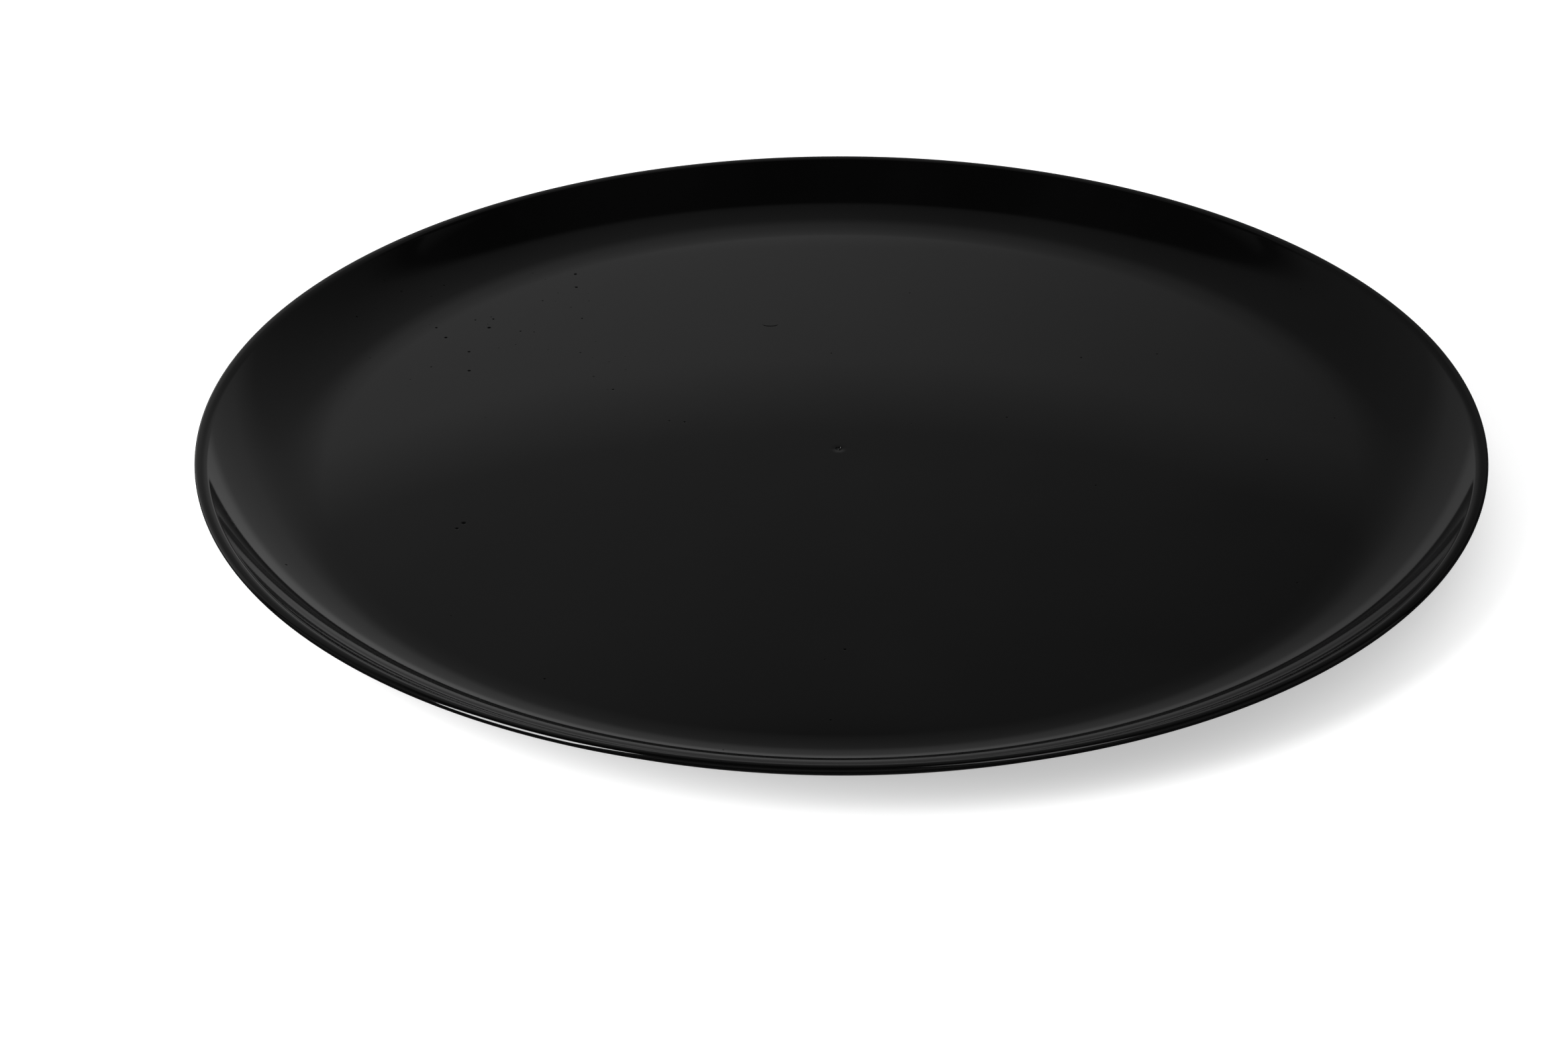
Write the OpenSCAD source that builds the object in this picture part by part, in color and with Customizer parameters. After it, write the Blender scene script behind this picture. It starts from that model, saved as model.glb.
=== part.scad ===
// Round serving tray: one moulding with a flat well, a cove, a flared wall and a thin
// rounded lip, standing on four soft non-slip feet seated in collars under its floor.
// The origin is on the tray's axis, at the level that the feet stand on.

/* [Tray] */
// Outer diameter across the lip
tray_d = 406; // [300:1:500]
// Thickness of the moulding
wall_t = 2.2; // [1.6:0.1:3]
// Radius of the cove between floor and wall, on the food side
cove_r = 48.4; // [30:0.1:60]
// Steepest slope of the wall, in degrees
wall_slope = 45; // [40:0.5:55]
// Length of the straight flank between cove and roll
flank_l = 0.2; // [0.1:0.1:6]

/* [Lip] */
// Radius of the roll from the wall into the lip, on the food side
roll_r = 4; // [3.2:0.1:8]
// Width of the level stretch of the lip, before its rounded edge
lip_w = 0.2; // [0.1:0.1:6]

/* [Foot ring] */
// Distance from the flat floor's edge in to the stiffening ring under it
ring_inset = 8; // [2:0.5:30]
// Width of the ring
ring_w = 2.4; // [1.6:0.1:5]
// Height of the ring below the floor
ring_h = 2.4; // [1.6:0.1:4]
// Number of gaps in the ring that let washing water run out
drain_count = 8; // [4:1:16]
// Width of each gap
drain_w = 8; // [4:0.5:16]

/* [Feet] */
// Diameter of a foot
foot_d = 16; // [10:0.5:22]
// Distance from the ring in to a foot's collar
collar_inset = 6; // [2:0.5:20]
// How far a foot stands below the foot ring
foot_proud = 1; // [0.6:0.1:2]
// Radius of the rounded edge that a foot stands on
foot_edge_r = 0.8; // [0.3:0.1:1.2]
// Diameter of the shallow dish in a foot's underside
foot_dish_d = 7; // [3:0.5:7]
// Depth of the dish
foot_dish_h = 0.5; // [0.2:0.1:0.8]
// Wall of the collar that holds a foot
collar_t = 1.6; // [1.2:0.1:3]
// How far a collar stops short of the ring's underside
collar_step = 0.6; // [0:0.1:0.8]
// Gap between a foot and its collar, on the radius
foot_gap = 0.1; // [0.05:0.05:0.3]

/* [Gate] */
// Diameter of the trimmed gate mark in the middle of the well
gate_d = 2.4; // [1:0.1:4]
// Depth of the gate mark
gate_h = 0.25; // [0.1:0.05:0.5]

/* [Hidden] */
$fn = 180;
FOOT_NAMES = ["foot_front_right", "foot_back_right", "foot_back_left", "foot_front_left"];

// Angle of the first foot, and the step from one foot to the next
foot_start = -45;
foot_step = 360 / len(FOOT_NAMES);

// Heights, from the surface that the feet stand on
ring_z = foot_proud;
base_z = ring_z + ring_h;
floor_z = base_z + wall_t;

// The food side runs from the flat floor up the cove (concave), along the flank and
// over the roll (convex) to the crest, where it is level again.
lip_r = wall_t / 2;
edge_r = tray_d / 2 - lip_r;
crest_r = edge_r - lip_w;
floor_r = crest_r - (cove_r + roll_r) * sin(wall_slope) - flank_l * cos(wall_slope);
crest_z = floor_z + (cove_r + roll_r) * (1 - cos(wall_slope)) + flank_l * sin(wall_slope);
cove_z = floor_z + cove_r;
roll_z = crest_z - roll_r;

// The ring and the feet are placed inward from the floor's edge
ring_r = floor_r - ring_inset - ring_w / 2;
collar_bore_r = foot_d / 2 + foot_gap;
collar_r = collar_bore_r + collar_t;
collar_h = ring_h - collar_step;
foot_pitch_r = ring_r - ring_w / 2 - collar_inset - collar_r;

// Steps in each arc of the section
cove_steps = 24;
roll_steps = 10;
lip_steps = 12;

// How far a cutter runs past the solid that it cuts
over = 1;

// The points of an arc of radius r round centre c, from angle a0 to angle a1, in n steps
function arc(c, r, a0, a1, n) =
    [for (i = [0 : n]) let (a = a0 + (a1 - a0) * i / n) c + r * [cos(a), sin(a)]];

// Half section of the moulding, radius along X and height along Y: along the underside
// from the axis to the lip, round the lip's edge, and back over the food side
module shell_section() {
    cove = [floor_r, cove_z];
    roll = [crest_r, roll_z];
    polygon(concat(
        [[0, base_z]],
        arc(cove, cove_r + wall_t, -90, wall_slope - 90, cove_steps),
        arc(roll, roll_r - wall_t, 90 + wall_slope, 90, roll_steps),
        arc([edge_r, crest_z - lip_r], lip_r, -90, 90, lip_steps),
        arc(roll, roll_r, 90, 90 + wall_slope, roll_steps),
        arc(cove, cove_r, wall_slope - 90, -90, cove_steps),
        [[0, floor_z]]
    ));
}

// The ring under the floor that keeps it flat, broken by the drain gaps
module foot_ring() {
    difference() {
        translate([0, 0, ring_z]) rotate_extrude()
            translate([ring_r - ring_w / 2, 0]) square([ring_w, ring_h + wall_t / 2]);
        for (i = [0 : drain_count - 1])
            rotate((i + 0.5) * 360 / drain_count)
                translate([ring_r - ring_w / 2 - over, -drain_w / 2, ring_z - over])
                    cube([ring_w + 2 * over, drain_w, ring_h + over]);
    }
}

// The collar that a foot is seated in
module foot_collar() {
    translate([0, 0, base_z - collar_h]) difference() {
        cylinder(r = collar_r, h = collar_h + wall_t / 2);
        translate([0, 0, -over]) cylinder(r = collar_bore_r, h = collar_h + over);
    }
}

// Puts its children at the place of foot i
module at_foot(i) {
    rotate(foot_start + i * foot_step) translate([foot_pitch_r, 0, 0]) children();
}

module tray_shell() {
    color([0.03, 0.03, 0.035]) difference() {
        union() {
            rotate_extrude() shell_section();
            foot_ring();
            for (i = [0 : len(FOOT_NAMES) - 1]) at_foot(i) foot_collar();
        }
        translate([0, 0, floor_z - gate_h]) cylinder(d = gate_d, h = gate_h + over);
    }
}

// Half section of a foot: a disc with a rounded edge and a shallow dish to stand on
module foot_section() {
    r = foot_d / 2;
    difference() {
        union() {
            translate([0, foot_edge_r]) square([r, base_z - foot_edge_r]);
            square([r - foot_edge_r, base_z]);
            translate([r - foot_edge_r, foot_edge_r]) circle(foot_edge_r);
        }
        translate([0, -over]) square([foot_dish_d / 2, foot_dish_h + over]);
    }
}

module foot(i) {
    color([0.12, 0.12, 0.13]) at_foot(i) rotate_extrude() foot_section();
}

tray_shell();
for (i = [0 : len(FOOT_NAMES) - 1])
    foot(i);
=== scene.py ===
"""Dresses a round, shallow serving tray: a glossy moulding on four soft feet.

Every length is in metres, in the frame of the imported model: +Z is up along the tray's axis,
and -Y is the side nearest the viewer.
"""

import logging
import math
from dataclasses import dataclass, field
from enum import Enum

import bmesh
import bpy
from mathutils import Matrix, Vector


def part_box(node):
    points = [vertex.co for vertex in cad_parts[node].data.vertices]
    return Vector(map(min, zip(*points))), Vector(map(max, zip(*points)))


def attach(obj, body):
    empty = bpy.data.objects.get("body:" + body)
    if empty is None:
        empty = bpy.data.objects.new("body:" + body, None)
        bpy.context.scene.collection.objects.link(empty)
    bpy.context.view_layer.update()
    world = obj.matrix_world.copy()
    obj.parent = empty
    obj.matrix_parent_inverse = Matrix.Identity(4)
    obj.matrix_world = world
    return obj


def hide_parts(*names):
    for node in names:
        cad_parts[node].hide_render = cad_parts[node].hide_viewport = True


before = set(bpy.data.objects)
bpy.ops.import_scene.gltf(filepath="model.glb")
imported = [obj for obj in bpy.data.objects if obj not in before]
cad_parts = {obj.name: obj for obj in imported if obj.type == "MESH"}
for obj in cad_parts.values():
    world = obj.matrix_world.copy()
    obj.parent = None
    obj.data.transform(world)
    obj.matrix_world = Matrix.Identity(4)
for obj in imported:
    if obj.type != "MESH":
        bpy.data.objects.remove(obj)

log = logging.getLogger("serving_tray")

MM = 0.001
BODY = "root"
SHARP_EDGE = math.radians(35)
SAME_PLACE = 0.0002 * MM
CUT_SLACK = 0.001 * MM
FILLET_STEPS = 4

# A mix node's sockets for colours, which share their names with those for numbers
MIX_SHARE, MIX_FIRST, MIX_SECOND, MIX_COLOUR = 0, 6, 7, 2

# How a speck fades at its edge, and how sharply luck decides whether there is one
TINY = 0.0001
SPECK_EDGE = 0.35
SPECK_STEP = 0.02


class Face(Enum):
    """The two finishes of the moulding, by material slot."""

    FOOD_SIDE = 0
    UNDERSIDE = 1


class Corner(Enum):
    """The four feet, named as the frame names them."""

    FRONT_RIGHT = "front_right"
    BACK_RIGHT = "back_right"
    BACK_LEFT = "back_left"
    FRONT_LEFT = "front_left"

    @property
    def node(self) -> str:
        """The name of the foot's node in the frame."""
        return f"foot_{self.value}"


# ---------------------------------------------------------------- shader maths


def grey(level: float) -> tuple[float, float, float, float]:
    """The opaque grey of a level."""
    return level, level, level, 1.0


class Value:
    """A number that varies over a surface; arithmetic on it adds Math nodes."""

    def __init__(self, sheet: "NodeSheet", socket: bpy.types.NodeSocket) -> None:
        """Wraps one output socket of the sheet's tree."""
        self.sheet = sheet
        self.socket = socket

    def _math(self, operation: str, first: "Value | float", second: "Value | float") -> "Value":
        """Adds one Math node.

        Args:
            operation: The node's operation.
            first: Its first operand.
            second: Its second operand.

        Returns:
            The node's result.
        """
        node = self.sheet.add("ShaderNodeMath", {"operation": operation}, {0: first, 1: second})
        return Value(self.sheet, node.outputs[0])

    def __add__(self, other: "Value | float") -> "Value":
        """self + other."""
        return self._math("ADD", self, other)

    def __radd__(self, other: float) -> "Value":
        """other + self."""
        return self._math("ADD", other, self)

    def __sub__(self, other: "Value | float") -> "Value":
        """self - other."""
        return self._math("SUBTRACT", self, other)

    def __rsub__(self, other: float) -> "Value":
        """other - self."""
        return self._math("SUBTRACT", other, self)

    def __mul__(self, other: "Value | float") -> "Value":
        """self * other."""
        return self._math("MULTIPLY", self, other)

    def __rmul__(self, other: float) -> "Value":
        """other * self."""
        return self._math("MULTIPLY", other, self)

    def __truediv__(self, other: "Value | float") -> "Value":
        """self / other."""
        return self._math("DIVIDE", self, other)

    def __pow__(self, other: float) -> "Value":
        """self to the power of other."""
        return self._math("POWER", self, other)

    def above(self, low: float, high: float) -> "Value":
        """Rises smoothly from 0 at low to 1 at high.

        Args:
            low: Where the rise starts.
            high: Where it ends, which may be less than low for a fall.

        Returns:
            The smooth step.
        """
        limits = {"From Min": low, "From Max": high, "Value": self}
        settings = {"interpolation_type": "SMOOTHSTEP"}
        return Value(self.sheet, self.sheet.add("ShaderNodeMapRange", settings, limits).outputs[0])


class NodeSheet:
    """A node tree, of a material or of the surroundings."""

    def __init__(self, tree: bpy.types.NodeTree) -> None:
        """Takes the tree to work in."""
        self.tree = tree

    def add(
        self,
        kind: str,
        settings: dict[str, object] | None = None,
        inputs: dict[int | str, object] | None = None,
    ) -> bpy.types.Node:
        """Adds one node.

        Args:
            kind: The node's type.
            settings: Its own settings; "stops" holds a ramp's positions and grey levels.
            inputs: The values, Values or sockets that go to its inputs.

        Returns:
            The new node.
        """
        node = self.tree.nodes.new(kind)
        for name, setting in (settings or {}).items():
            if name == "stops":
                self._set_stops(node.color_ramp.elements, setting)
            else:
                setattr(node, name, setting)
        for key, given in (inputs or {}).items():
            source = given.socket if isinstance(given, Value) else given
            if isinstance(source, bpy.types.NodeSocket):
                self.tree.links.new(source, node.inputs[key])
            else:
                node.inputs[key].default_value = source
        return node

    @staticmethod
    def _set_stops(stops: bpy.types.ColorRampElements, wanted: list[tuple[float, float]]) -> None:
        """Gives a ramp its stops.

        Args:
            stops: The ramp's stops, of which a new ramp has two.
            wanted: The position and grey level of each.
        """
        while len(stops) < len(wanted):
            stops.new(1.0)
        for stop, (position, level) in zip(stops, wanted):
            stop.position = position
            stop.color = grey(level)

    def end(self, name: str, source: bpy.types.NodeSocket) -> None:
        """Feeds the tree's own output node, which has the given name."""
        self.tree.links.new(source, self.tree.nodes[name].inputs["Surface"])


class ShaderSheet(NodeSheet):
    """The node tree of one material, with its pattern sources in object coordinates."""

    def __init__(self, name: str) -> None:
        """Makes the material with its Principled shader.

        Args:
            name: The material's name.
        """
        self.material = bpy.data.materials.new(name)
        self.material.use_nodes = True
        super().__init__(self.material.node_tree)
        self.surface = self.tree.nodes["Principled BSDF"]
        self.place = self.add("ShaderNodeTexCoord").outputs["Object"]

    def axes(self) -> tuple[Value, Value, Value]:
        """The surface point's X, Y and Z."""
        parts = self.add("ShaderNodeSeparateXYZ", None, {0: self.place}).outputs
        return Value(self, parts[0]), Value(self, parts[1]), Value(self, parts[2])

    def stretched(self, turn: float, stretch: float) -> bpy.types.NodeSocket:
        """Object coordinates that are turned about Z and squeezed along X.

        Args:
            turn: The angle, in degrees.
            stretch: How many times longer a pattern becomes along X.

        Returns:
            The coordinates.
        """
        rotation = (0, 0, math.radians(turn))
        inputs = {"Vector": self.place, "Rotation": rotation, "Scale": (1 / stretch, 1, 1)}
        return self.add("ShaderNodeMapping", {"vector_type": "POINT"}, inputs).outputs[0]

    def noise(self, size: float, detail: float = 2, place: bpy.types.NodeSocket | None = None) -> Value:
        """Smooth noise from about 0 to 1.

        Args:
            size: The size of its features.
            detail: How many finer layers it has.
            place: Its coordinates, if not the object's own.

        Returns:
            The noise.
        """
        inputs = {"Vector": place or self.place, "Scale": 1 / size, "Detail": detail}
        return Value(self, self.add("ShaderNodeTexNoise", None, inputs).outputs[0])

    def specks(self, spacing: float, radius: float, share: float) -> Value:
        """Round specks of random size, scattered without order.

        Args:
            spacing: The mean distance from one possible place to the next.
            radius: The radius of the largest speck.
            share: The share of the places that hold a speck.

        Returns:
            1 in the middle of a speck and 0 outside it.
        """
        inputs = {"Vector": self.place, "Scale": 1 / spacing, "Randomness": 1.0}
        settings = {"feature": "F1", "voronoi_dimensions": "2D"}
        cells = self.add("ShaderNodeTexVoronoi", settings, inputs)
        chances = self.add("ShaderNodeSeparateColor", None, {0: cells.outputs["Color"]})
        luck = Value(self, chances.outputs[0])
        size = luck.above(1 - share, 1.0) * (radius / spacing) + TINY
        round_speck = (Value(self, cells.outputs["Distance"]) / size).above(1.0, SPECK_EDGE)
        return round_speck * luck.above(1 - share, 1 - share + SPECK_STEP)

    def greys(self, share: Value, low: float, high: float) -> bpy.types.NodeSocket:
        """Mixes two greys.

        Args:
            share: 0 for the first grey and 1 for the second.
            low: The first grey's level.
            high: The second grey's level.

        Returns:
            The mixed colour.
        """
        inputs = {MIX_SHARE: share, MIX_FIRST: grey(low), MIX_SECOND: grey(high)}
        return self.add("ShaderNodeMix", {"data_type": "RGBA"}, inputs).outputs[MIX_COLOUR]

    def vary(self, name: str, source: "Value | bpy.types.NodeSocket") -> None:
        """Feeds one of the surface's inputs from a Value or a colour."""
        self.tree.links.new(getattr(source, "socket", source), self.surface.inputs[name])

    def fix(self, **values: object) -> None:
        """Sets inputs of the surface that are the same all over, with _ for a space."""
        for name, value in values.items():
            self.surface.inputs[name.replace("_", " ")].default_value = value

    def relief(self, height: Value) -> None:
        """Turns a height in millimetres into the surface's bumps.

        Args:
            height: The height over the smooth surface.
        """
        bump = self.add("ShaderNodeBump", None, {"Strength": 1.0, "Distance": MM, "Height": height})
        self.vary("Normal", bump.outputs[0])


# -------------------------------------------------------------------- finishes
#
# Sizes are in metres. Heights and depths of relief are in millimetres, as a sheet's relief takes
# them. A range gives the noise at which a pattern starts and at which it is full.


@dataclass(frozen=True)
class Nick:
    """A small sharp nick in the polish: its place and its radius, in millimetres."""

    x: float
    y: float
    radius: float


@dataclass(frozen=True)
class Strokes:
    """Fine strokes in one direction: their angle, their length in widths, and their range."""

    angle: float
    length: float
    span: tuple[float, float]

    def draw(self, sheet: ShaderSheet, width: float, detail: float) -> Value:
        """Draws the strokes.

        Args:
            sheet: The material's sheet.
            width: The width of a stroke.
            detail: How ragged they are, from 0.

        Returns:
            1 on a stroke and 0 outside.
        """
        return sheet.noise(width, detail, sheet.stretched(self.angle, self.length)).above(*self.span)


@dataclass(frozen=True)
class PolishedPlastic:
    """Mirror-polished black plastic, faintly wavy, with a few pits and hairlines from use."""

    name: str = "polished_black_plastic"
    shade: float = 0.0009
    dusty: float = 3.2
    gloss: float = 0.055
    index: float = 1.5
    wave: float = 55 * MM
    wave_height: float = 0.008
    peel: float = 3.2 * MM
    peel_height: float = 0.00006
    haze_patch: float = 70 * MM
    haze_range: tuple[float, float] = (0.35, 0.75)
    haze_blur: float = 0.012
    haze_tone: float = 0.25
    dust_spacing: float = 21 * MM
    dust_radius: float = 0.28 * MM
    dust_share: float = 0.22
    dust_height: float = 0.006
    dust_tone: float = 0.75
    pit_spacing: float = 5.5 * MM
    pit_radius: float = 0.6 * MM
    pit_share: float = 0.5
    pit_clump: float = 18 * MM
    pit_clump_range: tuple[float, float] = (0.45, 0.6)
    pit_depth: float = 0.02
    pit_blur: float = 0.6
    stray_spacing: float = 27.5 * MM
    stray_radius: float = 0.54 * MM
    stray_share: float = 0.3
    worn_patch: tuple[float, float] = (-121 * MM, 76 * MM)
    worn_patch_size: float = 78 * MM
    nick_depth: float = 0.04
    nick_blur: float = 0.7
    nicks: tuple[Nick, ...] = (
        Nick(-115.7, -48.1, 1.1),
        Nick(-117.4, -51.5, 0.8),
        Nick(-121.6, 87.6, 0.9),
        Nick(-135.8, 79.9, 0.8),
        Nick(-126.6, 69.0, 0.7),
        Nick(-125.0, 54.8, 0.8),
        Nick(-120.8, 94.4, 0.55),
        Nick(-140.0, 87.6, 0.6),
        Nick(-94.9, 131.1, 0.75),
        Nick(-93.7, 120.1, 0.7),
        Nick(-89.8, 94.9, 0.5),
        Nick(-75.4, 41.1, 0.55),
        Nick(-50.5, 18.1, 0.55),
        Nick(1.8, -120.3, 0.6),
    )
    scratch: Nick = Nick(-23.9, 88.8, 3.2)
    scratch_width: float = 0.4
    scratch_sag: float = 0.14
    hairline_width: float = 0.5 * MM
    hairlines: tuple[Strokes, Strokes] = (
        Strokes(24, 130, (0.735, 0.77)),
        Strokes(-63, 160, (0.75, 0.785)),
    )
    hairline_patch: float = 48 * MM
    hairline_range: tuple[float, float] = (0.52, 0.64)
    hairline_depth: float = 0.0004
    hairline_blur: float = 0.04
    lip_wear: tuple[float, float] = (20.2 * MM, 21.0 * MM)
    lip_wear_patch: float = 7 * MM
    lip_wear_range: tuple[float, float] = (0.4, 0.7)
    lip_wear_blur: float = 0.03
    gate_sink: float = 6 * MM
    gate_sink_depth: float = 0.004

    def _pits(self, sheet: ShaderSheet, x: Value, y: Value) -> Value:
        """The small pits, gathered in the worn patch with a few strays elsewhere.

        Args:
            sheet: The material's sheet.
            x: The surface point's X.
            y: Its Y.

        Returns:
            1 in a pit and 0 outside.
        """
        away_x = x - self.worn_patch[0]
        away_y = y - self.worn_patch[1]
        away = (away_x * away_x + away_y * away_y) ** 0.5
        near = away.above(self.worn_patch_size, self.worn_patch_size / 4)
        clumps = sheet.noise(self.pit_clump).above(*self.pit_clump_range)
        gathered = sheet.specks(self.pit_spacing, self.pit_radius, self.pit_share) * near * clumps
        return gathered + sheet.specks(self.stray_spacing, self.stray_radius, self.stray_share)

    def _nicks(self, x: Value, y: Value) -> Value:
        """The few larger nicks, and one short curved scratch.

        Args:
            x: The surface point's X.
            y: Its Y.

        Returns:
            1 in a nick and 0 outside.
        """
        along = (x - self.scratch.x * MM) / MM
        across = (y - self.scratch.y * MM) / MM - along * along * self.scratch_sag
        in_reach = (along * along).above(self.scratch.radius**2, self.scratch.radius)
        found = in_reach * (across * across).above(self.scratch_width**2, 0.0)
        for nick in self.nicks:
            off_x = (x - nick.x * MM) / MM
            off_y = (y - nick.y * MM) / MM
            rim = nick.radius**2
            found = found + (off_x * off_x + off_y * off_y).above(rim, rim / 10)
        return found

    def _hairlines(self, sheet: ShaderSheet) -> Value:
        """Fine wiping scratches in two directions, here and there.

        Args:
            sheet: The material's sheet.

        Returns:
            1 on a scratch and 0 outside.
        """
        along, across = (strokes.draw(sheet, self.hairline_width, 0) for strokes in self.hairlines)
        return (along + across) * sheet.noise(self.hairline_patch).above(*self.hairline_range)

    def build(self) -> bpy.types.Material:
        """Makes the material.

        Returns:
            The finished material.
        """
        sheet = ShaderSheet(self.name)
        x, y, z = sheet.axes()
        pits = self._pits(sheet, x, y)
        nicks = self._nicks(x, y)
        hairlines = self._hairlines(sheet)
        dust = sheet.specks(self.dust_spacing, self.dust_radius, self.dust_share)
        haze = sheet.noise(self.haze_patch, 3).above(*self.haze_range)
        rubbing = sheet.noise(self.lip_wear_patch, 3).above(*self.lip_wear_range)
        wear = z.above(*self.lip_wear) * rubbing
        from_gate = (x * x + y * y) ** 0.5
        sink = from_gate.above(self.gate_sink, 0.0)

        tone = haze * self.haze_tone + dust * self.dust_tone
        sheet.vary("Base Color", sheet.greys(tone, self.shade, self.shade * self.dusty))
        rubbed = haze * self.haze_blur + pits * self.pit_blur + nicks * self.nick_blur
        worn = hairlines * self.hairline_blur + wear * self.lip_wear_blur
        sheet.vary("Roughness", rubbed + worn + self.gloss)
        sheet.vary("Metallic", nicks + pits)
        sheet.fix(IOR=self.index)

        waves = sheet.noise(self.wave, 1) * self.wave_height
        peel = sheet.noise(self.peel, 1) * self.peel_height
        sunk = pits * self.pit_depth + nicks * self.nick_depth + hairlines * self.hairline_depth
        raised = waves + peel + dust * self.dust_height
        sheet.relief(raised - sunk - sink * self.gate_sink_depth)
        return sheet.material


@dataclass(frozen=True)
class GrainedPlastic:
    """The same black plastic with the fine matt grain of an eroded mould face."""

    name: str = "grained_black_plastic"
    shade: float = 0.005
    darkest: float = 0.8
    palest: float = 2.0
    matt: float = 0.31
    index: float = 1.5
    grain: float = 0.45 * MM
    grain_height: float = 0.006
    grain_tone: float = 0.35
    grain_blur: float = 0.06
    flow_patch: float = 30 * MM
    flow_waviness: float = 9 * MM
    flow_lines: float = 260
    flow_reach: float = 52
    flow_tone: float = 0.25
    flow_blur: float = 0.08
    rub_width: float = 0.7 * MM
    rubs: Strokes = Strokes(38, 60, (0.66, 0.74))
    rub_patch: float = 40 * MM
    rub_range: tuple[float, float] = (0.5, 0.62)
    rub_depth: float = 0.002
    rub_tone: float = 0.4
    rub_blur: float = 0.1

    def build(self) -> bpy.types.Material:
        """Makes the material.

        Returns:
            The finished material.
        """
        sheet = ShaderSheet(self.name)
        x, y, _ = sheet.axes()
        grain = sheet.noise(self.grain, 3)
        from_gate = (x * x + y * y) ** 0.5
        flow = sheet.noise(self.flow_patch, 3)
        rubs = self.rubs.draw(sheet, self.rub_width, 1)
        scuffs = rubs * sheet.noise(self.rub_patch).above(*self.rub_range)

        wandering = (from_gate + flow * self.flow_waviness) * self.flow_lines
        lines = wandering.above(0, self.flow_reach)
        tone = grain * self.grain_tone + scuffs * self.rub_tone + lines * self.flow_tone
        shades = (self.shade * self.darkest, self.shade * self.palest)
        sheet.vary("Base Color", sheet.greys(tone, *shades))
        blur = flow * self.flow_blur + scuffs * self.rub_blur + grain * self.grain_blur
        sheet.vary("Roughness", blur + self.matt)
        sheet.fix(IOR=self.index, Metallic=0.0)
        sheet.relief(grain * self.grain_height - scuffs * self.rub_depth)
        return sheet.material


@dataclass(frozen=True)
class SoftSilicone:
    """Matt dark silicone with a dusting of pale specks."""

    name: str = "soft_silicone"
    shade: float = 0.022
    darkest: float = 0.8
    palest: float = 2.4
    matt: float = 0.74
    index: float = 1.41
    pore: float = 0.5 * MM
    pore_height: float = 0.02
    pore_tone: float = 0.2
    pore_blur: float = 0.08
    bloom_patch: float = 4 * MM
    bloom_range: tuple[float, float] = (0.35, 0.8)
    bloom_tone: float = 0.35
    bloom_blur: float = 0.1
    dust_spacing: float = 1.6 * MM
    dust_radius: float = 0.12 * MM
    dust_share: float = 0.3
    dust_height: float = 0.01
    dust_tone: float = 0.5

    def build(self) -> bpy.types.Material:
        """Makes the material.

        Returns:
            The finished material.
        """
        sheet = ShaderSheet(self.name)
        pores = sheet.noise(self.pore, 3)
        bloom = sheet.noise(self.bloom_patch, 3).above(*self.bloom_range)
        dust = sheet.specks(self.dust_spacing, self.dust_radius, self.dust_share)
        tone = pores * self.pore_tone + bloom * self.bloom_tone + dust * self.dust_tone
        shades = (self.shade * self.darkest, self.shade * self.palest)
        sheet.vary("Base Color", sheet.greys(tone, *shades))
        sheet.vary("Roughness", bloom * self.bloom_blur + pores * self.pore_blur + self.matt)
        sheet.fix(IOR=self.index, Metallic=0.0)
        sheet.relief(pores * self.pore_height + dust * self.dust_height)
        return sheet.material


# ---------------------------------------------------------------- mesh helpers


class Pen:
    """Draws a half section in the XZ plane as one chain of edges, ready to be spun."""

    def __init__(self, mesh: bmesh.types.BMesh, radius: float, height: float) -> None:
        """Puts the pen down.

        Args:
            mesh: The mesh to draw in.
            radius: The start's distance from the axis.
            height: The start's height.
        """
        self.mesh = mesh
        self.tip = mesh.verts.new((radius, 0, height))

    def line(self, radius: float, height: float) -> None:
        """Draws a straight line.

        Args:
            radius: Its end's distance from the axis.
            height: Its end's height.
        """
        drawn = bmesh.ops.extrude_vert_indiv(self.mesh, verts=[self.tip])
        self.tip = drawn["verts"][0]
        self.tip.co = (radius, 0, height)

    def arc(self, centre: tuple[float, float], turn: float, steps: int) -> None:
        """Swings round a centre.

        Args:
            centre: The centre's radius and height.
            turn: The angle in degrees, positive when anticlockwise with +X to the right.
            steps: The number of edges.
        """
        drawn = bmesh.ops.spin(
            self.mesh,
            geom=[self.tip],
            cent=(centre[0], 0, centre[1]),
            axis=(0, -1, 0),
            angle=math.radians(turn),
            steps=steps,
        )
        self.tip = next(item for item in drawn["geom_last"] if isinstance(item, bmesh.types.BMVert))

    def corner(self, radius: float, height: float, turn: float, fillet: float, leaving: float) -> None:
        """Draws to a right-angled corner and round its fillet.

        Args:
            radius: The sharp corner's radius.
            height: Its height.
            turn: 90 for an anticlockwise corner, -90 for a clockwise one.
            fillet: The fillet's radius.
            leaving: The direction that the pen arrives in, in degrees from +X.
        """
        heading = math.radians(leaving)
        ahead = (fillet * math.cos(heading), fillet * math.sin(heading))
        side = math.copysign(1, turn)
        start = (radius - ahead[0], height - ahead[1])
        centre = (start[0] - side * ahead[1], start[1] + side * ahead[0])
        self.line(*start)
        self.arc(centre, turn, FILLET_STEPS)


def turned(mesh: bmesh.types.BMesh, steps: int) -> None:
    """Spins everything in the mesh a full turn about the Z axis and closes its seam and poles.

    Args:
        mesh: The mesh, which holds one half section.
        steps: The number of steps in the turn.
    """
    section = [*mesh.verts, *mesh.edges]
    bmesh.ops.spin(
        mesh,
        geom=section,
        cent=(0, 0, 0),
        axis=(0, 0, 1),
        angle=math.tau,
        steps=steps,
        use_merge=True,
    )
    bmesh.ops.remove_doubles(mesh, verts=mesh.verts, dist=SAME_PLACE)
    bmesh.ops.dissolve_degenerate(mesh, edges=mesh.edges, dist=SAME_PLACE)
    bmesh.ops.recalc_face_normals(mesh, faces=mesh.faces)


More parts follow.
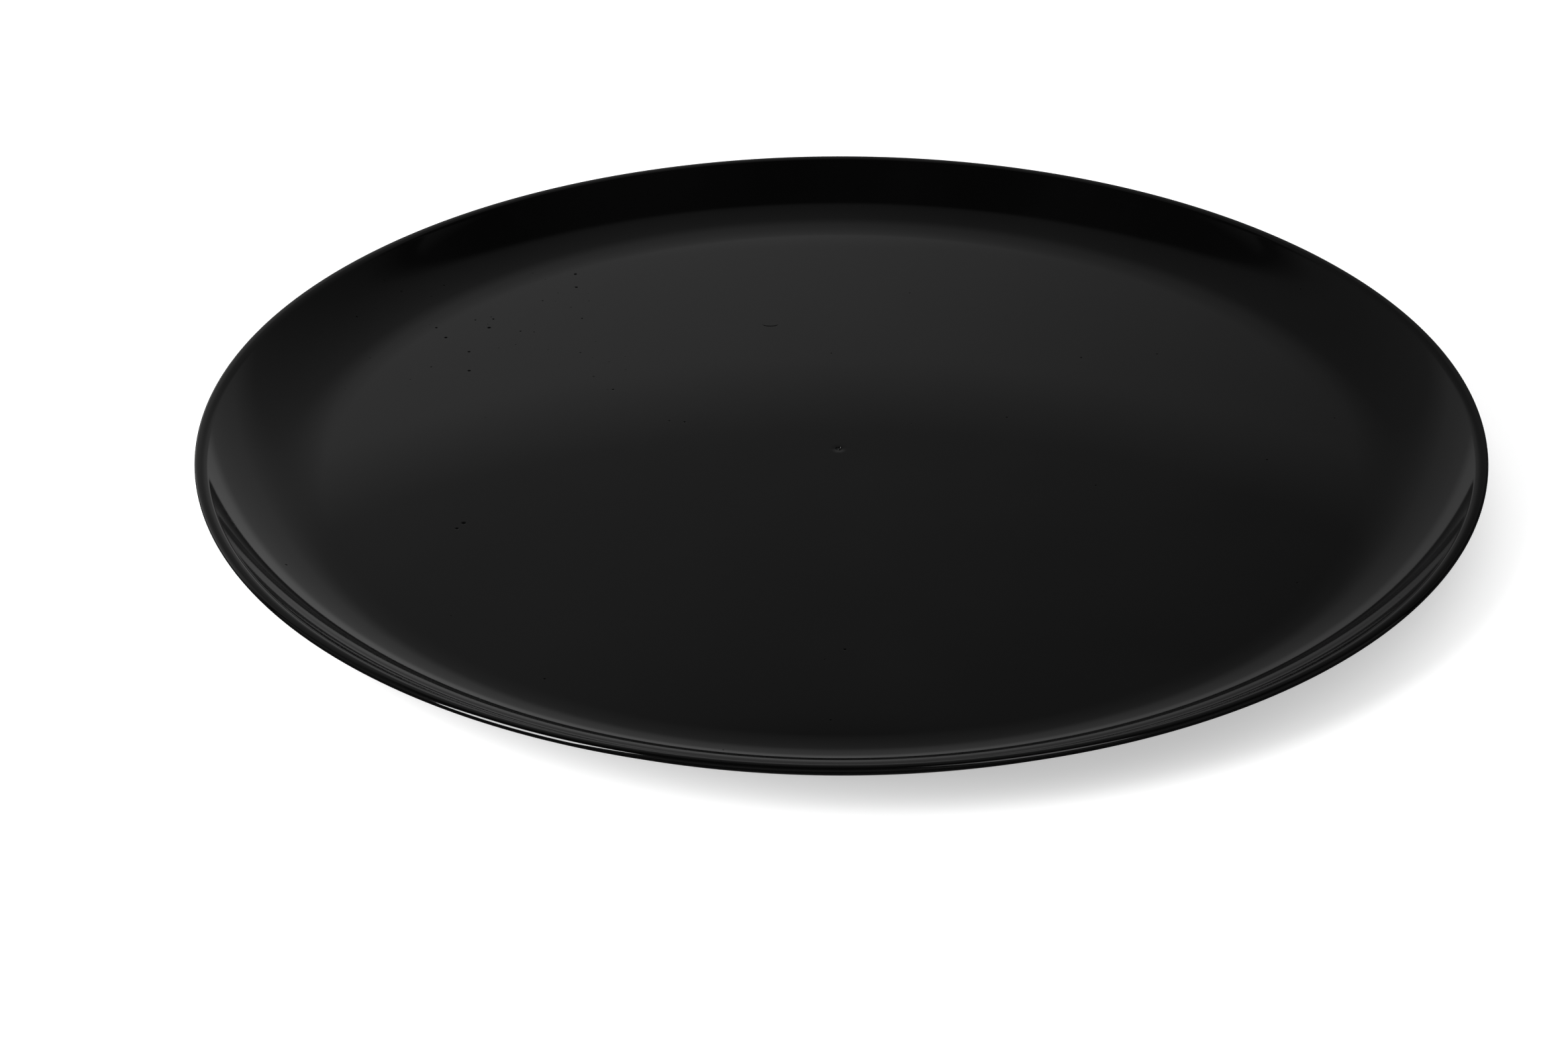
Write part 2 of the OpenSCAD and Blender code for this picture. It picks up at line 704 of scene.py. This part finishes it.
def finished(
    mesh: bmesh.types.BMesh, name: str, materials: list[bpy.types.Material]
) -> bpy.types.Object:
    """Turns a bmesh into a smooth-shaded object at the origin.

    Args:
        mesh: The finished bmesh, which is freed.
        name: The object's name.
        materials: Its materials, by slot.

    Returns:
        The object, linked to the scene.
    """
    data = bpy.data.meshes.new(name)
    for face in mesh.faces:
        face.smooth = True
    mesh.to_mesh(data)
    mesh.free()
    for material in materials:
        data.materials.append(material)
    data.set_sharp_from_angle(angle=SHARP_EDGE)
    piece = bpy.data.objects.new(name, data)
    bpy.context.scene.collection.objects.link(piece)
    return piece


# ------------------------------------------------------------------ the pieces


@dataclass
class TrayMoulding:
    """The tray itself: one moulding with a flat well, a cove, a flared wall and a thin lip."""

    radius: float
    crest: float
    ring_bottom: float
    seats: list[tuple[float, float]]
    wall: float = 2.2 * MM
    cove: float = 48.4 * MM
    slope: float = 45
    flank: float = 0.2 * MM
    roll: float = 4 * MM
    lip_flat: float = 0.2 * MM
    ring_inset: float = 8 * MM
    ring_width: float = 2.4 * MM
    ring_height: float = 2.4 * MM
    drains: int = 8
    drain_width: float = 8 * MM
    drain_ramp: float = 0.05 * MM
    collar_bore: float = 16.2 * MM
    collar_wall: float = 1.6 * MM
    collar_height: float = 1.8 * MM
    gate_width: float = 2.4 * MM
    gate_depth: float = 0.25 * MM
    gate_stub: float = 0.45
    gate_fillet: float = 0.08 * MM
    well_rings: tuple[float, float] = (0.6, 0.2)
    ejector_marks: int = 8
    ejector_rings: tuple[float, float] = (118 * MM, 70 * MM)
    ejector_radius: float = 4 * MM
    ejector_draft: float = 0.1 * MM
    ejector_sunk: float = 0.12 * MM
    ejector_height: float = 0.4 * MM
    fillet: float = 0.4 * MM
    margin: float = 1 * MM
    steps: int = 384
    collar_steps: int = 72
    cove_steps: int = 56
    outer_cove_steps: int = 40
    roll_steps: int = 20
    outer_roll_steps: int = 10
    lip_steps: int = 20
    mark_steps: int = 40
    base: float = field(init=False)
    floor: float = field(init=False)
    edge: float = field(init=False)
    crest_at: float = field(init=False)
    well: float = field(init=False)

    def __post_init__(self) -> None:
        """Works out the section's levels and radii from the frame's box."""
        self.base = self.ring_bottom + self.ring_height
        self.floor = self.base + self.wall
        self.edge = self.radius - self.wall / 2
        self.crest_at = self.edge - self.lip_flat
        tilt = math.radians(self.slope)
        self.well = self.crest_at - (self.cove + self.roll) * math.sin(tilt) - self.flank * math.cos(tilt)

    @property
    def ring(self) -> tuple[float, float]:
        """The foot ring's inner and outer radius."""
        outer = self.well - self.ring_inset
        return outer - self.ring_width, outer

    def _draw_underside(self, pen: Pen) -> None:
        """Draws from the base's middle over the foot ring and up the outside to the lip.

        Args:
            pen: The pen, at the base's middle.
        """
        inner, outer = self.ring
        pen.line(inner - self.margin, self.base)
        pen.corner(inner, self.base, -90, self.fillet, 0)
        pen.corner(inner, self.ring_bottom, 90, self.fillet, -90)
        pen.corner(outer, self.ring_bottom, 90, self.fillet, 0)
        pen.corner(outer, self.base, -90, self.fillet, 90)
        pen.line(outer + self.margin, self.base)
        pen.line(self.well - self.margin, self.base)
        pen.line(self.well, self.base)
        pen.arc((self.well, self.floor + self.cove), self.slope, self.outer_cove_steps)
        tilt = math.radians(self.slope)
        back = self.roll - self.wall
        roll = (self.crest_at, self.crest - self.roll)
        pen.line(roll[0] - back * math.sin(tilt), roll[1] + back * math.cos(tilt))
        pen.arc(roll, -self.slope, self.outer_roll_steps)

    def _draw_food_side(self, pen: Pen) -> None:
        """Draws round the lip, down the wall and across the well.

        Args:
            pen: The pen, under the lip.
        """
        tilt = math.radians(self.slope)
        pen.line(self.edge, self.crest - self.wall)
        pen.arc((self.edge, self.crest - self.wall / 2), 180, self.lip_steps)
        pen.line(self.crest_at, self.crest)
        pen.arc((self.crest_at, self.crest - self.roll), self.slope, self.roll_steps)
        centre = (self.well, self.floor + self.cove)
        start = (centre[0] + self.cove * math.sin(tilt), centre[1] - self.cove * math.cos(tilt))
        pen.line(*start)
        pen.arc(centre, -self.slope, self.cove_steps)
        pen.line(self.well - self.margin, self.floor)
        for share in self.well_rings:
            pen.line(self.well * share, self.floor)

    def _draw_gate(self, pen: Pen) -> None:
        """Draws the gate mark: a small recess with the stub of the gate in its middle.

        Args:
            pen: The pen, on the well.
        """
        half = self.gate_width / 2
        stub = half * self.gate_stub
        soft = self.gate_fillet
        bottom = self.floor - self.gate_depth
        pen.line(half + 2 * self.margin, self.floor)
        pen.corner(half, self.floor, 90, soft, 180)
        pen.corner(half, bottom, -90, soft, -90)
        pen.corner(stub, bottom, -90, soft, 180)
        pen.corner(stub, self.floor - soft, 90, soft, 90)
        pen.line(0, self.floor - 1.3 * soft)

    def _by_gap(self, vert: bmesh.types.BMVert, along: Vector, across: Vector) -> bool:
        """Whether a point is on the foot ring, close to one drain gap.

        Args:
            vert: The point.
            along: The direction from the axis to the gap.
            across: The direction across the gap.

        Returns:
            True on the ring and within a gap's width.
        """
        inner, outer = self.ring
        reach = 0.6 * self.margin
        on_ring = inner - reach < vert.co.xy.length < outer + reach
        below = vert.co.z < self.floor - reach
        return on_ring and below and vert.co.dot(along) > 0 and abs(vert.co.dot(across)) < self.drain_width

    def _open_drains(self, mesh: bmesh.types.BMesh) -> None:
        """Cuts the drain gaps out of the foot ring, up to the base.

        Args:
            mesh: The spun moulding.
        """
        cuts = [
            side * (self.drain_width / 2 + inset) for side in (-1, 1) for inset in (0, self.drain_ramp)
        ]
        for index in range(self.drains):
            angle = (index + 0.5) * math.tau / self.drains
            along = Vector((math.cos(angle), math.sin(angle), 0))
            across = Vector((-math.sin(angle), math.cos(angle), 0))
            for offset in cuts:
                close = {vert for vert in mesh.verts if self._by_gap(vert, along, across)}
                near = [face for face in mesh.faces if close.issuperset(face.verts)]
                edges = {edge for face in near for edge in face.edges}
                verts = {vert for face in near for vert in face.verts}
                bmesh.ops.bisect_plane(
                    mesh,
                    geom=[*near, *edges, *verts],
                    dist=CUT_SLACK,
                    plane_co=across * offset,
                    plane_no=across,
                )
            for vert in mesh.verts:
                inside = abs(vert.co.dot(across)) < self.drain_width / 2 + self.drain_ramp / 5
                if inside and self._by_gap(vert, along, across):
                    vert.co.z = max(vert.co.z, self.base)

    def _add_collar(self, mesh: bmesh.types.BMesh, seat: tuple[float, float]) -> None:
        """Adds the collar that holds one foot, let into the base.

        Args:
            mesh: The moulding.
            seat: The foot's X and Y.
        """
        collar = bmesh.new()
        inner = self.collar_bore / 2
        outer = inner + self.collar_wall
        bottom = self.base - self.collar_height
        top = self.base + self.fillet
        pen = Pen(collar, inner, top)
        pen.corner(inner, bottom, 90, self.fillet, -90)
        pen.corner(outer, bottom, 90, self.fillet, 0)
        pen.line(outer, self.base - self.fillet)
        pen.arc((outer + self.fillet, self.base - self.fillet), -90, FILLET_STEPS)
        pen.line(outer + self.fillet, top)
        pen.line(inner, top)
        turned(collar, self.collar_steps)
        bmesh.ops.translate(collar, vec=(*seat, 0), verts=collar.verts)
        self._join(mesh, collar)

    def _add_ejector_mark(self, mesh: bmesh.types.BMesh, angle: float, out: float) -> None:
        """Adds the faint round mark of one ejector pin under the floor.

        Args:
            mesh: The moulding.
            angle: Its place round the axis, in radians.
            out: Its distance from the axis.
        """
        mark = bmesh.new()
        bmesh.ops.create_cone(
            mark,
            cap_ends=True,
            segments=self.mark_steps,
            radius1=self.ejector_radius,
            radius2=self.ejector_radius + self.ejector_draft,
            depth=self.ejector_height,
        )
        place = (out * math.cos(angle), out * math.sin(angle), self.base + self.ejector_sunk)
        bmesh.ops.translate(mark, vec=place, verts=mark.verts)
        self._join(mesh, mark)

    @staticmethod
    def _join(mesh: bmesh.types.BMesh, part: bmesh.types.BMesh) -> None:
        """Moves a part's faces into the moulding's mesh.

        Args:
            mesh: The moulding.
            part: The part, which is freed.
        """
        carrier = bpy.data.meshes.new("carrier")
        part.to_mesh(carrier)
        part.free()
        mesh.from_mesh(carrier)
        bpy.data.meshes.remove(carrier)

    def _sort_faces(self, mesh: bmesh.types.BMesh) -> None:
        """Gives each face its side's finish; the polish runs round the lip to its lowest line.

        Args:
            mesh: The moulding.
        """
        middle = self.base + self.wall / 2
        for face in mesh.faces:
            centre = face.calc_center_median()
            out = centre.xy.length
            up = face.normal.z > 0 or out < self.gate_width
            food_side = out > self.edge or (up and centre.z > middle)
            face.material_index = (Face.FOOD_SIDE if food_side else Face.UNDERSIDE).value

    def build(self, materials: list[bpy.types.Material]) -> bpy.types.Object:
        """Builds the moulding and puts it in the frame.

        Args:
            materials: The finishes of the food side and the underside.

        Returns:
            The piece.
        """
        mesh = bmesh.new()
        pen = Pen(mesh, 0, self.base)
        self._draw_underside(pen)
        self._draw_food_side(pen)
        self._draw_gate(pen)
        turned(mesh, self.steps)
        self._open_drains(mesh)
        for seat in self.seats:
            self._add_collar(mesh, seat)
        for index in range(self.ejector_marks):
            angle = index * math.tau / self.ejector_marks
            self._add_ejector_mark(mesh, angle, self.ejector_rings[index % 2])
        self._sort_faces(mesh)
        piece = finished(mesh, "tray_moulding", materials)
        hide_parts("tray_shell")
        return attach(piece, BODY)


@dataclass
class FootPad:
    """One soft foot: a disc with a rounded edge, grip rings and a shallow dish."""

    corner: Corner
    dish: float = 3.5 * MM
    dish_depth: float = 0.5 * MM
    edge: float = 0.8 * MM
    groove: float = 0.35 * MM
    groove_depth: float = 0.22 * MM
    groove_taper: float = 0.6
    grooves: tuple[float, ...] = (4.3 * MM, 5.3 * MM, 6.3 * MM)
    dish_inset: float = 0.15 * MM
    fillet: float = 0.12 * MM
    edge_steps: int = 10
    steps: int = 96

    @property
    def box(self) -> tuple[Vector, Vector]:
        """The foot's lowest and highest corner in the frame."""
        low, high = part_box(self.corner.node)
        return Vector(low), Vector(high)

    @property
    def seat(self) -> tuple[float, float]:
        """The X and Y of the foot's middle."""
        middle = sum(self.box, Vector()) / 2
        return middle.x, middle.y

    def _draw(self, pen: Pen, radius: float, top: float) -> None:
        """Draws the half section, from the dish's middle out and back over the top.

        Args:
            pen: The pen, at the dish's middle.
            radius: The foot's radius.
            top: The height of its top.
        """
        dish = self.dish - self.dish_inset
        mouth = self.groove / 2
        bottom = mouth * self.groove_taper
        pen.corner(dish, self.dish_depth, -90, self.fillet, 0)
        pen.corner(dish, 0, 90, self.fillet, -90)
        for middle in self.grooves:
            pen.line(middle - mouth, 0)
            pen.line(middle - bottom, self.groove_depth)
            pen.line(middle + bottom, self.groove_depth)
            pen.line(middle + mouth, 0)
        pen.line(radius - self.edge, 0)
        pen.arc((radius - self.edge, self.edge), 90, self.edge_steps)
        pen.corner(radius, top, 90, self.fillet, 90)
        pen.line(0, top)

    def build(self, material: bpy.types.Material) -> bpy.types.Object:
        """Builds the foot and puts it in the frame.

        Args:
            material: The foot's finish.

        Returns:
            The piece.
        """
        low, high = self.box
        mesh = bmesh.new()
        self._draw(Pen(mesh, 0, self.dish_depth), (high.x - low.x) / 2, high.z)
        turned(mesh, self.steps)
        bmesh.ops.translate(mesh, vec=(*self.seat, low.z), verts=mesh.verts)
        piece = finished(mesh, f"foot_pad_{self.corner.value}", [material])
        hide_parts(self.corner.node)
        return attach(piece, BODY)


# ------------------------------------------------------------------ the studio


@dataclass(frozen=True)
class SoftBox:
    """A soft rectangular lamp that faces the tray."""

    name: str
    towards: tuple[float, float, float]
    distance: float
    width: float
    height: float
    radiance: float
    in_gloss: bool

    def build(self) -> None:
        """Puts the lamp in the scene."""
        light = bpy.data.lights.new(self.name, "AREA")
        light.shape = "RECTANGLE"
        light.size = self.width
        light.size_y = self.height
        light.energy = self.radiance * math.pi * self.width * self.height
        lamp = bpy.data.objects.new(self.name, light)
        outward = Vector(self.towards).normalized()
        lamp.location = outward * self.distance
        lamp.rotation_euler = outward.to_track_quat("Z", "Y").to_euler()
        lamp.visible_glossy = self.in_gloss
        lamp.visible_camera = False
        bpy.context.scene.collection.objects.link(lamp)


@dataclass(frozen=True)
class Studio:
    """A pale table under soft light, with a curved card behind the tray for its gloss."""

    lens: float = 69.04
    sensor: float = 36.0
    eye: tuple[float, float, float] = (0, -0.8494, 0.4687)
    pitch: float = 29.935
    yaw: float = 1.205
    roll: float = -0.523
    table: float = 40.0
    table_shade: float = 0.75
    table_glow: float = 0.45
    card_radius: float = 0.29
    card_height: float = 0.37
    card_from: float = -20.0
    card_turn: float = 220.0
    card_steps: int = 110
    card_ends: tuple[float, float] = (-0.34, -0.1)
    card_levels: tuple[tuple[float, float], ...] = (
        (0.0, 0.34),
        (0.05, 0.34),
        (0.068, 0.21),
        (0.12, 0.195),
        (0.135, 0.16),
        (0.155, 0.115),
        (0.19, 0.107),
        (0.26, 0.098),
        (0.30, 0.086),
        (0.35, 0.012),
    )
    card_lean_low: tuple[float, float] = (-0.6, -0.35)
    card_lean_high: tuple[float, float] = (-0.5, -0.2)
    card_lean_between: tuple[float, float] = (0.05, 0.08)
    sky_levels: tuple[tuple[float, float], ...] = (
        (-90, 0.03),
        (-1, 0.03),
        (1, 0.15),
        (10, 0.15),
        (20, 0.10),
        (43, 0.09),
        (51, 0.01),
        (90, 0.006),
    )
    backdrop: float = 1.0
    soft_light: float = 0.55
    lamps: tuple[SoftBox, ...] = (
        SoftBox("overhead", (0, 0.1, 1), 1.6, 1.6, 1.6, 0.9, False),
        SoftBox("left_window", (-0.671, -0.534, 0.515), 1.44, 0.60, 0.80, 15.0, True),
        SoftBox("right_fill", (0.39, -0.48, 0.78), 1.3, 0.46, 0.60, 1.75, True),
    )

    def _build_camera(self) -> None:
        """Places the camera from its eye point and its three turns."""
        yaw, pitch, roll = (math.radians(turn) for turn in (self.yaw, self.pitch, self.roll))
        aim = Matrix.Rotation(yaw, 4, "Z") @ Matrix.Rotation(math.pi / 2 - pitch, 4, "X")
        camera = bpy.data.cameras.new("camera")
        camera.lens = self.lens
        camera.sensor_width = self.sensor
        camera.clip_start = 0.01
        holder = bpy.data.objects.new("camera", camera)
        holder.matrix_world = Matrix.Translation(self.eye) @ aim @ Matrix.Rotation(roll, 4, "Z")
        bpy.context.scene.collection.objects.link(holder)
        bpy.context.scene.camera = holder

    def _build_table(self) -> None:
        """Makes the pale table top, which the tray's gloss doesn't show."""
        mesh = bmesh.new()
        bmesh.ops.create_grid(mesh, x_segments=1, y_segments=1, size=self.table / 2)
        sheet = ShaderSheet("pale_table")
        sheet.fix(Base_Color=grey(self.table_shade), Roughness=0.8)
        sheet.fix(Emission_Color=grey(1.0), Emission_Strength=self.table_glow)
        top = finished(mesh, "table_top", [sheet.material])
        top.visible_glossy = False

    def _build_card(self) -> None:
        """Makes the curved card, which only glossy reflections see."""
        mesh = bmesh.new()
        foot = mesh.verts.new((self.card_radius, 0, 0))
        drawn = bmesh.ops.extrude_vert_indiv(mesh, verts=[foot])
        bmesh.ops.translate(mesh, vec=(0, 0, self.card_height), verts=drawn["verts"])
        start = Matrix.Rotation(math.radians(self.card_from), 3, "Z")
        bmesh.ops.rotate(mesh, cent=(0, 0, 0), matrix=start, verts=mesh.verts)
        bmesh.ops.spin(
            mesh,
            geom=[*mesh.verts, *mesh.edges],
            cent=(0, 0, 0),
            axis=(0, 0, 1),
            angle=math.radians(self.card_turn),
            steps=self.card_steps,
        )
        card = finished(mesh, "card", [self._glow()])
        for ray in ("camera", "diffuse", "shadow", "transmission", "volume_scatter"):
            setattr(card, f"visible_{ray}", False)

    def _glow(self) -> bpy.types.Material:
        """Makes the card's finish: a grey glow that falls with height, to the right and at the ends.

        Returns:
            The finished material.
        """
        sheet = ShaderSheet("glowing_card")
        x, y, z = sheet.axes()
        stops = [(height / self.card_height, level) for height, level in self.card_levels]
        ramp = sheet.add("ShaderNodeValToRGB", {"stops": stops}, {0: z / self.card_height})
        side = x / self.card_radius
        high = side * self.card_lean_high[0] + side * side * self.card_lean_high[1]
        low = side * self.card_lean_low[0] + side * side * self.card_lean_low[1]
        lean = low + (high - low) * z.above(*self.card_lean_between) + 1
        ends = y.above(*(self.card_radius * end for end in self.card_ends))
        sheet.vary("Emission Color", Value(sheet, ramp.outputs[0]) * (lean * ends))
        sheet.fix(Base_Color=grey(0.0), Specular_IOR_Level=0.0, Emission_Strength=1.0)
        return sheet.material

    def _build_sky(self) -> None:
        """Makes the surroundings: white to look at, softer as light, and graded grey in the gloss."""
        world = bpy.data.worlds.new("surroundings")
        bpy.context.scene.world = world
        world.use_nodes = True
        sheet = NodeSheet(world.node_tree)
        place = sheet.add("ShaderNodeTexCoord").outputs["Generated"]
        up = sheet.add("ShaderNodeSeparateXYZ", None, {0: place}).outputs["Z"]
        rise = sheet.add("ShaderNodeMath", {"operation": "ARCSINE"}, {0: up})
        span = {"Value": rise.outputs[0], "From Min": -math.pi / 2, "From Max": math.pi / 2}
        share = sheet.add("ShaderNodeMapRange", None, span).outputs[0]
        stops = [((angle + 90) / 180, level) for angle, level in self.sky_levels]
        graded = sheet.add("ShaderNodeValToRGB", {"stops": stops}, {0: share}).outputs[0]
        kinds = (graded, grey(self.soft_light), grey(self.backdrop))
        glossed, lighting, seen = (
            sheet.add("ShaderNodeBackground", None, {"Color": kind}).outputs[0] for kind in kinds
        )
        ray = sheet.add("ShaderNodeLightPath").outputs
        unseen = sheet.add("ShaderNodeMixShader", None, {0: ray["Is Glossy Ray"], 1: lighting, 2: glossed})
        choice = {0: ray["Is Camera Ray"], 1: unseen.outputs[0], 2: seen}
        sheet.end("World Output", sheet.add("ShaderNodeMixShader", None, choice).outputs[0])

    def build(self) -> None:
        """Builds the camera, the table, the card, the surroundings and the lamps."""
        bpy.context.scene.view_settings.view_transform = "Standard"
        self._build_camera()
        self._build_table()
        self._build_card()
        self._build_sky()
        for lamp in self.lamps:
            lamp.build()


# ------------------------------------------------------------------------ main


def main() -> None:
    """Builds the studio and the tray's pieces in order."""
    logging.basicConfig(level=logging.INFO, format="%(name)s: %(message)s")
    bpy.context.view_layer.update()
    Studio().build()

    low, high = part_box("tray_shell")
    feet = [FootPad(corner) for corner in Corner]
    moulding = TrayMoulding(
        radius=high[0],
        crest=high[2],
        ring_bottom=low[2],
        seats=[foot.seat for foot in feet],
    )
    piece = moulding.build([PolishedPlastic().build(), GrainedPlastic().build()])
    log.info("%s: %d faces", piece.name, len(piece.data.polygons))
    silicone = SoftSilicone().build()
    for foot in feet:
        pad = foot.build(silicone)
        log.info("%s: %d faces", pad.name, len(pad.data.polygons))


if __name__ == "__main__":
    main()
